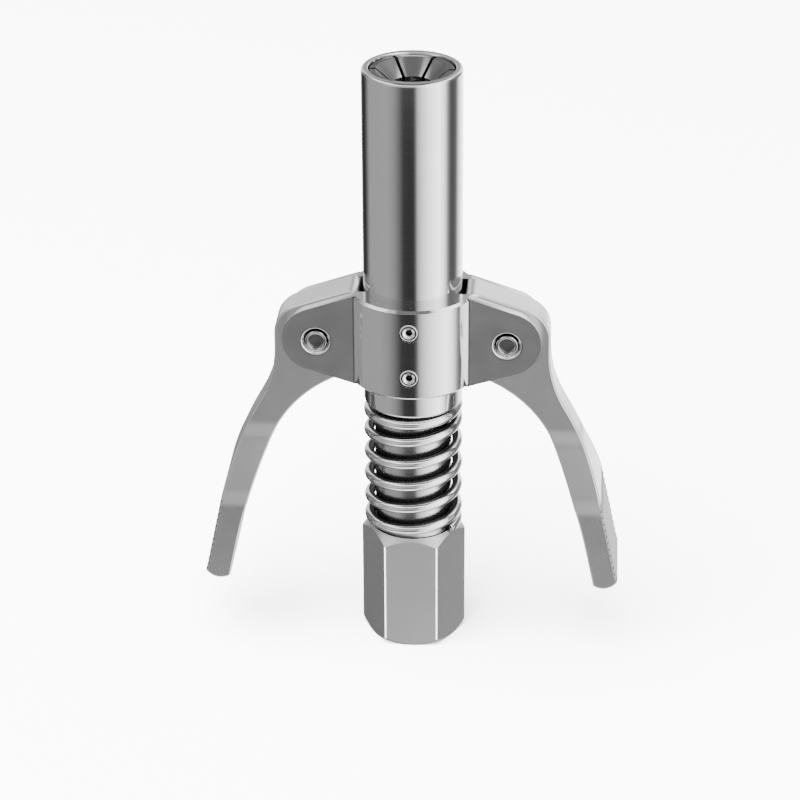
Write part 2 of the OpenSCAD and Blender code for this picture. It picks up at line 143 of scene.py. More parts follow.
class CouplerSizes(bpy.types.PropertyGroup):
    """Sizes of the coupler's pieces that the frame doesn't give."""

    stem_r: length("Stem radius", "Radius of the stem under the sleeve", 6.3)
    groove_r: length("Groove radius", "Radius of the stem at the lever groove", 5.0)
    bore_r: length("Sleeve bore", "Radius of the sleeve's bore", 6.35)
    mouth_r: length("Mouth radius", "Radius of the sleeve's mouth at its rim", 6.9)
    rim_round: length("Rim round", "Rounding of the sleeve's rim", 0.5)
    hex_edge: length("Hex edge", "Rounding of the hex's corners", 0.13)
    foot_inset: length("Foot inset", "Inset of the hex's round foot from its flats", 0.1)
    collar_edge: length("Collar edge", "Rounding of the collar's and ears' edges", 0.28)
    lever_t: length("Lever thickness", "Thickness of a lever between its ears", 5.8)
    pad_w: length("Pad width", "Width of a thumb pad", 15)
    lever_edge: length("Lever edge", "Rounding of a lever's edges", 0.32)
    ridge_pitch: length("Ridge pitch", "Pitch of the thumb pads' ridges", 1.2)
    ridge_depth: length("Ridge depth", "Depth of the grooves between the ridges", 0.25)
    ridge_count: bpy.props.IntProperty(name="Ridges", description="Ridges on a thumb pad", default=12, min=0)
    wire: length("Spring wire", "Diameter of the main spring's wire", 1.7)
    spring_turns: turns("Spring turns", "Turns of the main spring", 6)
    spring_phase: bpy.props.FloatProperty(
        name="Spring start", description="Direction of the spring's lower end", default=math.radians(18),
        unit="ROTATION",
    )
    seal_wire: length("Seal spring wire", "Diameter of the wire of the seal's spring", 0.6)
    seal_turns: turns("Seal turns", "Turns of the seal's spring", 5)
    thread_pitch: length("Thread pitch", "Pitch of the inlet's thread", 0.94)
    thread_depth: length("Thread depth", "Height of the inlet's thread", 0.5)
    pin_cup_r: length("Pin cup", "Radius of the cup in a pin's end", 1.3)
    socket_r: length("Screw socket", "Half the width of a set screw's hex socket", 0.45)
    jaw_slot: length("Jaw slot", "Gap between two jaws", 0.4)
    funnel_r: length("Funnel radius", "Radius of the jaws' entry funnel", 5.7)
    seal_hole_r: length("Seal hole", "Radius of the hole through the seal", 1.1)


class CouplerFinish(bpy.types.PropertyGroup):
    """Colours and polish of the coupler's materials."""

    sleeve_tint: tint("Sleeve", "Colour of the polished sleeve", (0.78, 0.78, 0.78))
    sleeve_rough: share("Sleeve roughness", "Blur of the sleeve's reflections", 0.09)
    body_tint: tint("Hex", "Colour of the hex body", (0.8, 0.8, 0.8))
    body_rough: share("Hex roughness", "Blur of the hex's reflections", 0.31)
    collar_tint: tint("Collar", "Colour of the collar", (0.76, 0.76, 0.76))
    collar_rough: share("Collar roughness", "Blur of the collar's reflections", 0.1)
    lever_tint: tint("Lever", "Colour of the levers", (0.67, 0.67, 0.67))
    lever_rough: share("Lever roughness", "Blur of the levers' reflections", 0.3)
    wire_tint: tint("Spring wire", "Colour of the springs", (0.78, 0.78, 0.78))
    jaw_tint: tint("Jaws", "Colour of the hardened jaws", (0.55, 0.55, 0.55))
    pin_tint: tint("Pins", "Colour of the pins", (0.7, 0.7, 0.7))
    screw_tint: tint("Set screws", "Colour of the set screws", (0.75, 0.75, 0.75))
    rubber_tint: tint("Seal", "Colour of the seal and the elastic ring", (0.03, 0.028, 0.026))
    floor_tint: tint("Floor", "Colour of the floor", (0.9, 0.9, 0.9))


class Value:
    """A socket in a node tree. Sums, differences, products and quotients of values add their Math nodes."""

    def __init__(self, tree, socket=None):
        self.tree = tree
        self.socket = socket

    def node(self, kind, settings=None, sockets=None, out=0):
        """Adds a node, sets it up, fills or links its sockets, and returns one of its outputs."""
        made = self.tree.nodes.new(kind)
        for name, setting in (settings or {}).items():
            if name == "stops":
                self.set_stops(made.color_ramp, setting)
            else:
                setattr(made, name, setting)
        for key, value in (sockets or {}).items():
            if isinstance(value, Value):
                self.tree.links.new(value.socket, made.inputs[key])
            else:
                made.inputs[key].default_value = value
        return Value(self.tree, made.outputs[out] if made.outputs else None)

    @staticmethod
    def set_stops(ramp, stops):
        """Gives a ramp its grey stops, as pairs of a place and a level."""
        while len(ramp.elements) < len(stops):
            ramp.elements.new(1)
        for element, (place, level) in zip(ramp.elements, stops):
            element.position = place
            element.color = (level, level, level, 1)

    def other(self, name):
        """Another output of the same node."""
        return Value(self.tree, self.socket.node.outputs[name])

    def math(self, operation, first, second=0.0):
        """Adds one Math node."""
        return self.node("ShaderNodeMath", {"operation": operation}, {0: first, 1: second})

    def __add__(self, more):
        return self.math("ADD", self, more)

    __radd__ = __add__

    def __sub__(self, less):
        return self.math("SUBTRACT", self, less)

    def __rsub__(self, whole):
        return self.math("SUBTRACT", whole, self)

    def __mul__(self, factor):
        return self.math("MULTIPLY", self, factor)

    __rmul__ = __mul__

    def __truediv__(self, divisor):
        return self.math("DIVIDE", self, divisor)

    def between(self, low, high):
        """0 below low, 1 above high and smooth between them."""
        return self.node(
            "ShaderNodeMapRange",
            {"interpolation_type": "SMOOTHSTEP"},
            {"Value": self, "From Min": low, "From Max": high},
        )


def noise(coords, scale, detail=3.0):
    """Cloudy variation from 0 to 1 over the piece's own coordinates."""
    return coords.node("ShaderNodeTexNoise", None, {"Vector": coords, "Scale": scale, "Detail": detail})


def stretched(coords, scale):
    """The piece's coordinates, stretched along its axes."""
    return coords.node("ShaderNodeMapping", None, {"Vector": coords, "Scale": scale})


def blank_material(name):
    """A material with an empty tree, its object coordinates and its shader node."""
    material = bpy.data.materials.new(name)
    material.use_nodes = True
    tree = material.node_tree
    tree.nodes.clear()
    coords = Value(tree).node("ShaderNodeTexCoord", out="Object")
    shader = coords.node("ShaderNodeBsdfPrincipled")
    coords.node("ShaderNodeOutputMaterial", None, {"Surface": shader})
    return material, coords, shader.socket.node


def set_shader(coords, shader, **inputs):
    """Sets or links the shader's inputs by name."""
    for name, value in inputs.items():
        socket = shader.inputs[name.replace("_", " ")]
        if isinstance(value, Value):
            coords.tree.links.new(value.socket, socket)
        else:
            socket.default_value = value


def mixed(coords, mask, first, second):
    """One colour where the mask is 0, the other where it is 1."""
    return coords.node(
        "ShaderNodeMix",
        {"data_type": "RGBA"},
        {0: mask, 6: first if isinstance(first, Value) else (*first, 1), 7: (*second, 1)},
        out=2,
    )


def plated_metal(
    name, colour, roughness, grain, uneven=0.4, satin=None, dull=0.0, blur=None, darken=None, worn=None
):
    """Plated steel with cloudy polish and fine tool marks along one direction. Masks give it duller faces,
    more or less blur, darker places (mostly painted shade in recesses and under coils) and edges worn to a pale
    matt."""
    material, coords, shader = blank_material(name)
    clouds = noise(coords, 260, 4)
    smudge = noise(coords, 90, 2).between(0.45, 0.75)
    marks = noise(stretched(coords, grain), 1.0, 2)
    mask = satin(coords) if satin else None
    if mask:
        marks = marks * (1 - mask) + mask * 0.5
    shade = tuple(channel * 0.86 for channel in colour)
    tone = mixed(coords, (clouds * 0.5 + marks * 0.5).between(0.3, 0.7) * 0.2, colour, shade)
    rough = roughness * (1 + (clouds + marks - 1) * uneven) + smudge * 0.01
    strength, metallic = 0.1 * uneven, 1.0
    if mask:
        rough = rough + mask * dull
        strength = (1 - mask) * strength
    if blur:
        rough = rough + blur(coords)
    # Mixes in near-black where the mask says, mostly painted shade, and makes those places rougher
    if darken:
        darkness = darken(coords)
        tone = mixed(coords, darkness, tone, DARKENING_TONE)
        rough = rough + darkness * 0.4
    if worn:
        metallic = 1 - worn(coords) * 0.6
    bump = coords.node("ShaderNodeBump", None, {"Strength": strength, "Distance": 0.00001, "Height": marks})
    set_shader(coords, shader, Base_Color=tone, Metallic=metallic, Roughness=rough, Normal=bump)
    return material


def place_of(coords):
    """The piece's X, with Y and Z as its node's other outputs."""
    return coords.node("ShaderNodeSeparateXYZ", None, {"Vector": coords})


def from_axis(coords):
    """Distance from the coupler's axis."""
    across = place_of(coords)
    depth = across.other("Y")
    return across.math("SQRT", across * across + depth * depth)


def beside_pin(coords):
    """Distances outwards and up from the nearer pin."""
    across = place_of(coords)
    return across.math("ABSOLUTE", across) - PIVOT.x, across.other("Z") - PIVOT.z


def from_pin(coords):
    """Distance from the nearer pin's axis."""
    out, up = beside_pin(coords)
    return out.math("SQRT", out * out + up * up)


def ear_faces(coords):
    """Mask of the collar's flat ears, beyond its round wall and outside the pins' countersinks."""
    across = place_of(coords)
    sink = from_pin(coords).between(SINK_R - 0.2 * MM, SINK_R)
    return across.math("ABSOLUTE", across).between(9.1 * MM, 9.5 * MM) * sink


def hex_faces(coords):
    """Mask of the hex end, below the polished stem."""
    return 1 - place_of(coords).other("Z").between(SEAT_Z, SEAT_Z + 0.1 * MM)


def hex_corners(coords):
    """Mask of the hex's rounded corners."""
    return from_axis(coords).between(BODY_HIGH.x - 0.1 * MM, BODY_HIGH.x - 0.06 * MM)


def spring_seat(coords):
    """Mask of a thin painted shadow line along the edge of the spring's seat, under the coil, and of a
    quarter-strength darkening of the bevel.
    """
    up, out = place_of(coords).other("Z"), from_axis(coords)
    on_top = up.between(SEAT_Z - 0.1 * MM, SEAT_Z - 0.06 * MM)
    # Painted shadow line along the seat's outer edge, where the coil overhangs it
    line = on_top * out.between(SEAT_R - 0.2 * MM, SEAT_R - 0.1 * MM)
    bevel = SEAT_Z + SEAT_R
    darker_band = (up + out).between(bevel - 0.1 * MM, bevel - 0.05 * MM) * 0.25
    return up.math("MAXIMUM", line, darker_band)


def coil_insides(coords, wire):
    """Mask of the wire's inner half, painted dark as shade between the coils and the stem."""
    middle = (SPRING_HIGH.x - SPRING_LOW.x) / 2 - wire / 2
    return 1 - from_axis(coords).between(middle + 0.05 * MM, middle + 0.3 * MM)


def rim_face(coords):
    """Mask of the flat end of the sleeve, a little duller than its wall."""
    up = place_of(coords).other("Z")
    return up.between(SLEEVE_HIGH.z - 0.1 * MM, SLEEVE_HIGH.z - 0.04 * MM) * 0.25


def jaw_shade_mask(coords):
    """Mask of painted shade on the jaws' sides, along the slots between them, and of a darker tone left and right
    of the middle.
    """
    across = place_of(coords)
    turn = across.math("FRACT", across.math("ARCTAN2", across.other("Y"), across) / JAW_SECTOR)
    # Painted shade along the slot walls
    off_slot = (0.5 - across.math("ABSOLUTE", turn - 0.5)) * JAW_SECTOR * from_axis(coords)
    darker_band = across.math("ABSOLUTE", across).between(1.2 * MM, 3 * MM) * 0.78
    return across.math("MAXIMUM", 1 - off_slot.between(0.24 * MM, 0.32 * MM), darker_band)


def flare_blur(coords, shape):
    """Blur that the levers gain where their flare bends, and lose on their well-handled thumb pads."""
    up = beside_pin(coords)[1]
    flare_top, pad_top = -FLARE_DROP * MM, shape.flare_levels()[2] * MM
    soft = 1.6 * MM
    bends = (flare_top - 0.6 * MM, pad_top + 0.6 * MM)
    bent = sum(up.between(z - soft, z) * (1 - up.between(z, z + soft)) for z in bends)
    return bent * 0.12 - (1 - up.between(pad_top - soft, pad_top + soft / 2)) * 0.035


def ridge_faces(coords, shape):
    """Mask of the ridges on the thumb pads: a darker tone over them, with painted shade in the grooves between
    them.
    """
    out, up = beside_pin(coords)
    turn, tip = polar(1, shape.pad), shape.tip_out * MM
    under = tip.dot(turn) - (out * turn.x + up * turn.y)
    along = up * turn.x - out * turn.y - tip.dot(polar(1, shape.pad + 90))
    end = shape.pitch * shape.ridges * MM
    on_ridges = along.between(0.1 * MM, 0.5 * MM) * (1 - along.between(end, end + 0.4 * MM))
    wave = out.math("SINE", (along - RIDGE_START * MM) * (math.pi / (shape.pitch * MM)))
    # Painted shade in the grooves between the ridges
    groove = 1 - out.math("ABSOLUTE", wave).between(0.15, 0.65)
    return (1 - under.between(0.3 * MM, 0.45 * MM)) * on_ridges * (groove * 0.5 + 0.32)


def from_screw(coords):
    """Distance from the nearer set screw's axis."""
    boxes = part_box("set_screw_lower"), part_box("set_screw_upper")
    low, high = ((box[0].z + box[1].z) / 2 for box in boxes)
    across = place_of(coords)
    up = across.math("ABSOLUTE", across.other("Z") - (low + high) / 2) - (high - low) / 2
    return across.math("SQRT", across * across + up * up)


def screw_metal(name, colour, socket_r, groove_r):
    """A bright screw end, with painted shade in its socket and in the groove round its face."""
    material, coords, shader = blank_material(name)
    out = from_screw(coords)
    groove = out.between(groove_r - 0.12 * MM, groove_r - 0.04 * MM)
    groove = groove * (1 - out.between(groove_r + 0.04 * MM, groove_r + 0.12 * MM))
    # Near-black painted shade in the socket and the groove
    inside = 1 - out.between(socket_r * 1.2, socket_r * 1.35) + groove * 0.9
    clouds = noise(coords, 1500, 3)
    tone = mixed(coords, inside * (0.9 + clouds * 0.1), colour, (0.02, 0.02, 0.02))
    set_shader(coords, shader, Base_Color=tone, Metallic=1.0, Roughness=0.08 + clouds * 0.08 + inside * 0.3)
    return material


def pin_metal(name, colour, cup_r):
    """Turned pin ends with ring marks, and painted shade in the cups."""
    material, coords, shader = blank_material(name)
    out = from_pin(coords)
    # Near-black painted shade in the cup
    inside = 1 - out.between(cup_r * 0.93, cup_r * 1.0)
    rings = noise(out.node("ShaderNodeCombineXYZ", None, {"X": out}), 9000, 2)
    clouds = noise(coords, 900, 3)
    tone = mixed(coords, inside * (0.85 + clouds * 0.15), colour, (0.06, 0.06, 0.06))
    rough = 0.08 + rings * 0.1 + inside * 0.3
    bump = coords.node("ShaderNodeBump", None, {"Strength": 0.2, "Distance": 0.00003, "Height": rings})
    set_shader(coords, shader, Base_Color=tone, Metallic=1.0, Roughness=rough, Normal=bump)
    return material


def rubber(name, colour):
    """Dull rubber with a fine skin."""
    material, coords, shader = blank_material(name)
    skin = noise(coords, 3000, 4)
    clouds = noise(coords, 400, 3)
    tone = mixed(coords, clouds.between(0.35, 0.7), colour, tuple(channel * 2.2 for channel in colour))
    bump = coords.node("ShaderNodeBump", None, {"Strength": 0.3, "Distance": 0.00004, "Height": skin})
    set_shader(coords, shader, Base_Color=tone, Roughness=0.55 + clouds * 0.2, Normal=bump)
    return material


def floor_material(colour):
    """Pale matt board."""
    material, coords, shader = blank_material("floor_board")
    clouds = noise(coords, 6, 3)
    tone = mixed(coords, clouds.between(0.3, 0.8) * 0.12, colour, tuple(channel * 0.97 for channel in colour))
    set_shader(coords, shader, Base_Color=tone, Roughness=0.9, Specular_IOR_Level=0.1)
    return material


def polar(radius, degrees):
    """A point at a distance and a direction from the origin, in two dimensions."""
    angle = math.radians(degrees)
    return Vector((radius * math.cos(angle), radius * math.sin(angle)))


def arc(centre, radius, start, end, steps):
    """Points along an arc, in degrees."""
    return [centre + polar(radius, start + (end - start) * i / steps) for i in range(steps + 1)]


def spread(low, high, steps):
    """Evenly spaced numbers, ends included."""
    return [low + (high - low) * i / steps for i in range(steps + 1)]


def wire_loop(bm, points, closed=True):
    """Vertices in the XZ plane joined by edges."""
    verts = [bm.verts.new((x, 0, z)) for x, z in points]
    pairs = list(zip(verts, verts[1:]))
    if closed:
        pairs.append((verts[-1], verts[0]))
    return verts, [bm.edges.new(pair) for pair in pairs]


def face_outwards(bm):
    """Turns the faces outwards."""
    bmesh.ops.recalc_face_normals(bm, faces=bm.faces)


def tidy(bm):
    """Merges doubles and turns the faces outwards."""
    bmesh.ops.remove_doubles(bm, verts=bm.verts, dist=TINY)
    face_outwards(bm)


def sweep(bm, geom, angle, steps, merge=False, rise=0.0):
    """Sweeps a section about Z, rising by the same height at every step."""
    bmesh.ops.spin(
        bm, geom=geom, cent=(0, 0, 0), axis=(0, 0, 1), dvec=(0, 0, rise), angle=angle, steps=steps,
        use_merge=merge,
    )


def cut_across(bm, place, normal, clear=False):
    """Cuts the whole piece along a plane, and returns what lies on the cut."""
    return bmesh.ops.bisect_plane(
        bm, geom=bm.verts[:] + bm.edges[:] + bm.faces[:], plane_co=place, plane_no=normal, clear_outer=clear
    )["geom_cut"]


def thicken(bm, faces, depth):
    """Draws faces out along Y into a closed solid."""
    pushed = bmesh.ops.extrude_face_region(bm, geom=faces, use_keep_orig=True)["geom"]
    far = [g for g in pushed if isinstance(g, bmesh.types.BMVert)]
    bmesh.ops.translate(bm, verts=far, vec=(0, depth, 0))
    face_outwards(bm)


def turned(points, closed=True, steps=RING_STEPS):
    """A piece turned about Z from its half section."""
    bm = bmesh.new()
    verts, edges = wire_loop(bm, points, closed)
    sweep(bm, verts + edges, TURN, steps, merge=True)
    tidy(bm)
    return bm


def on_ring(vert, radius, height):
    """Whether a vertex lies on a circle about Z."""
    return abs(math.hypot(vert.co.x, vert.co.y) - radius) < 2e-5 and abs(vert.co.z - height) < 2e-5


def ring_edges(bm, *rings):
    """The edges along circles about Z, each given by its radius and height."""
    return [e for e in bm.edges for r, z in rings if on_ring(e.verts[0], r, z) and on_ring(e.verts[1], r, z)]


def round_edges(bm, edges, width, segments=3, clamp=True):
    """Rounds edges over."""
    bmesh.ops.bevel(
        bm, geom=edges, offset=width, offset_type="OFFSET", segments=segments, profile=0.5,
        affect="EDGES", material=-1, clamp_overlap=clamp,
    )


def creases(bm, least=CREASE):
    """Edges at which the surface turns sharply."""
    return [e for e in bm.edges if e.is_manifold and e.calc_face_angle(0) > least]


def move(bm, matrix):
    """Moves or turns the whole piece."""
    bmesh.ops.transform(bm, matrix=matrix, verts=bm.verts)


def add_object(name, data):
    """Puts a mesh, a camera or a lamp into the scene."""
    added = bpy.data.objects.new(name, data)
    bpy.context.scene.collection.objects.link(added)
    return added


def add_mesh(name, bm, material):
    """Makes an object of a finished mesh and its material."""
    mesh = bpy.data.meshes.new(name)
    bm.to_mesh(mesh)
    bm.free()
    mesh.materials.append(material)
    return add_object(name, mesh)


def finish_piece(name, bm, material, body, nodes, crease=CREASE, even=True):
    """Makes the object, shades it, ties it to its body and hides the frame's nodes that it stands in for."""
    piece = add_mesh(name, bm, material)
    piece.data.shade_smooth()
    piece.data.set_sharp_from_angle(angle=crease)
    if even:
        piece.modifiers.new("even_normals", "WEIGHTED_NORMAL").keep_sharp = True
    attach(piece, body)
    if nodes:
        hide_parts(*nodes)
    return piece


def hex_radius(flat_r, angle):
    """Distance from a hexagon's middle to its outline, with a corner on +X."""
    sixth = TURN / 6
    return flat_r / math.cos(angle % sixth - sixth / 2)


def build_hex_body(sizes, finish):
    """The hex end and its stem in one turned piece, with the groove, the jaw flange and the inlet."""
    flat_r = BODY_HIGH.y
    foot_r = flat_r - sizes.foot_inset
    corner_r = BODY_HIGH.x
    neck_r, flange_r, lead = 3.9 * MM, 4.9 * MM, 0.4 * MM
    neck_low = JAW_LOW.z - JAW_GAP
    neck_high = neck_low + 2.5 * MM
    top = BODY_HIGH.z
    well_r, well_z = 2.7 * MM, top - 7.5 * MM
    passage_r = 1.6 * MM
    mouth = 0.6 * MM
    hex_low, hex_high = HEX_TOP * 0.1, HEX_TOP * 0.9
    bm = turned([
        (INLET_R + mouth, 0), (foot_r, 0), (corner_r, hex_low), (corner_r, hex_high), (SEAT_R, SEAT_Z),
        (sizes.stem_r, SEAT_Z), (sizes.stem_r, GROOVE_LOW), (sizes.groove_r, GROOVE_LOW),
        (sizes.groove_r, GROOVE_HIGH), (sizes.stem_r, GROOVE_HIGH), (sizes.stem_r, neck_low - lead),
        (sizes.stem_r - lead, neck_low), (neck_r, neck_low), (neck_r, neck_high), (flange_r, neck_high),
        (flange_r, top - lead), (flange_r - lead, top), (well_r, top), (well_r, well_z), (passage_r, well_z),
        (passage_r, INLET_DEPTH + INLET_R / 2), (INLET_R, INLET_DEPTH), (INLET_R, mouth),
    ])
    for vert in bm.verts:
        if on_ring(vert, corner_r, hex_low) or on_ring(vert, corner_r, hex_high):
            angle = math.atan2(vert.co.y, vert.co.x)
            reach = hex_radius(flat_r, angle)
            height = reach - foot_r if vert.co.z < HEX_TOP / 2 else SEAT_Z + SEAT_R - reach
            vert.co = (reach * math.cos(angle), reach * math.sin(angle), height)
    corners = [
        e for e in bm.edges
        if all(math.hypot(v.co.x, v.co.y) > corner_r - TINY for v in e.verts)
        and abs(e.verts[0].co.z - e.verts[1].co.z) > HEX_TOP / 2
    ]
    round_edges(bm, corners, sizes.hex_edge)
    face_outwards(bm)
    # The hex's top gets a painted shadow line along the spring's seat and a faint darkening of its bevel
    metal = plated_metal(
        "plated_hex", finish.body_tint, finish.sleeve_rough, (90, 90, 2600),
        satin=hex_faces, dull=finish.body_rough - finish.sleeve_rough, darken=spring_seat, worn=hex_corners,
    )
    finish_piece("hex_end_and_stem", bm, metal, "body", ["hex_body"], math.radians(20))


def build_inlet_thread(sizes, finish):
    """The thread's ridge, wound up the inlet's wall."""
    bm = bmesh.new()
    foot = 0.9 * MM
    half = sizes.thread_pitch * 0.46
    wall = INLET_R + 0.02 * MM
    winds = int((INLET_DEPTH - 2 * foot) / sizes.thread_pitch)
    steps = 40 * winds
    ridge = [(wall, foot - half), (INLET_R - sizes.thread_depth, foot), (wall, foot + half)]
    bmesh.ops.contextual_create(bm, geom=wire_loop(bm, ridge)[1])
    sweep(bm, bm.faces[:], TURN * winds, steps, rise=sizes.thread_pitch * winds / steps)
    face_outwards(bm)
    metal = plated_metal("plated_thread", finish.body_tint, 0.3, (200, 200, 4000))
    finish_piece("inlet_thread", bm, metal, "body", [])


def build_sleeve(sizes, finish):
    """The polished tube: rounded rim, conical mouth, and a window on each side for the levers' fingers."""
    low, high, radius = SLEEVE_LOW.z, SLEEVE_HIGH.z, SLEEVE_HIGH.x
    cone_z = high - (sizes.mouth_r - sizes.bore_r) / CONE_SLOPE
    bm = turned([
        (sizes.bore_r, low), (radius, low), (radius, high), (sizes.mouth_r, high), (sizes.bore_r, cone_z),
    ], steps=RING_STEPS * 2)
    round_edges(bm, ring_edges(bm, (radius, high), (radius, low)), sizes.rim_round, 5)
    round_edges(bm, ring_edges(bm, (sizes.mouth_r, high), (sizes.bore_r, low)), 0.12 * MM, 3)
    for depth in (WINDOW_HALF, -WINDOW_HALF):
        cut_across(bm, (0, depth, 0), (0, 1, 0))
    for height in (WINDOW_LOW, WINDOW_HIGH):
        cut_across(bm, (0, 0, height), (0, 0, 1))
    gone = []
    for face in bm.faces:
        middle = face.calc_center_median()
        if abs(middle.y) < WINDOW_HALF and WINDOW_LOW < middle.z < WINDOW_HIGH:
            gone.append(face)
    bmesh.ops.delete(bm, geom=gone, context="FACES")
    for side in (-1, 1):
        rims = [e for e in bm.edges if e.is_boundary and e.verts[0].co.x * side > 0]
        bmesh.ops.bridge_loops(bm, edges=rims)
    face_outwards(bm)
    metal = plated_metal(
        "polished_sleeve", finish.sleeve_tint, finish.sleeve_rough, (60, 60, 1500), darken=rim_face
    )
    finish_piece("polished_sleeve", bm, metal, "sleeve_group", ["sleeve"])


def on_collar_outside(spot):
    """Whether a place on the collar lies off its bore, its screw holes and the pins' countersinks."""
    off_bore = math.hypot(spot.x, spot.y) > SLEEVE_HIGH.x + 0.3 * MM
    collar_z = (COLLAR_LOW.z + COLLAR_HIGH.z) / 2
    off_screws = abs(spot.x) > 2 * MM or abs(spot.z - collar_z) > 6.5 * MM
    off_pins = math.hypot(abs(spot.x) - PIVOT.x, spot.z - PIVOT.z) > SINK_R
    return off_bore and off_screws and off_pins


def true_normals(mesh, wall_r):
    """Gives flat faces and the round wall their true normals, which the small roundings beside them meet."""
    beside = {}
    for face in mesh.polygons:
        for index in face.vertices:
            beside.setdefault(index, []).append(face)
    normals = []
    for face in mesh.polygons:
        for index in face.vertices:
            smooth = [near for near in beside[index] if near.normal.angle(face.normal) < math.radians(50)]
            main = max(smooth, key=lambda near: near.area)
            spot = mesh.vertices[index].co
            radial = Vector((spot.x, spot.y, 0)).normalized()
            at_wall = abs(math.hypot(spot.x, spot.y) - wall_r) < 0.05 * MM
            on_wall = at_wall and main.normal.dot(radial) > 0.98
            normals.append(radial if on_wall else main.normal.copy())
    mesh.normals_split_custom_set(normals)


def build_collar(sizes, finish):
    """The collar and its ears, from a merged copy of the solid, with every outer edge rounded."""
    bm = bmesh.new()
    bm.from_mesh(frame["nodes"]["collar"].data)
    bmesh.ops.remove_doubles(bm, verts=bm.verts, dist=2e-6)
    bmesh.ops.dissolve_limit(bm, angle_limit=math.radians(0.6), verts=bm.verts, edges=bm.edges)
    outer = [e for e in creases(bm) if all(on_collar_outside(v.co) for v in e.verts)]
    round_edges(bm, outer, sizes.collar_edge)
    metal = plated_metal(
        "plated_collar", finish.collar_tint, finish.collar_rough, (60, 60, 1500), satin=ear_faces, dull=0.135
    )
    piece = finish_piece(
        "collar_and_ears", bm, metal, "sleeve_group", ["collar"], even=False
    )
    true_normals(piece.data, COLLAR_HIGH.y)


# Outline of a lever about its pin, in millimetres and degrees
LEVER_TOP, TOP_FALL, LEVER_SIDE = 6.12, 18.65, 6.95
HEAD_ROUND, NOSE_ROUND, NOSE_PLAN = 5.2, 1.2, 2.4
NOSE_GAP, WEB_FACE, FLAT_LENGTH = 0.55, 9.22, 5.0
ARM_ANGLES = (68, 25, 12)
ELBOW_R, INNER_R, OUTER_R = 21, 85, 59
SIDE_LENGTH, HOLLOW_R, HOLLOW_ANGLE = 2, 20, 30
LEVER_DROP, TIP_BULGE, RIDGE_START = 43.4, 0.9, 0.4
FLARE_DROP, FLARE_R, FLARE_ANGLE = 16.4, 6, 26
FINGER_REACH, FINGER_WIDTH, FINGER_WEDGE = 10.0, 5.0, 17
FINGER_ROOT, PIN_HOLE_R = 5.0, 1.8


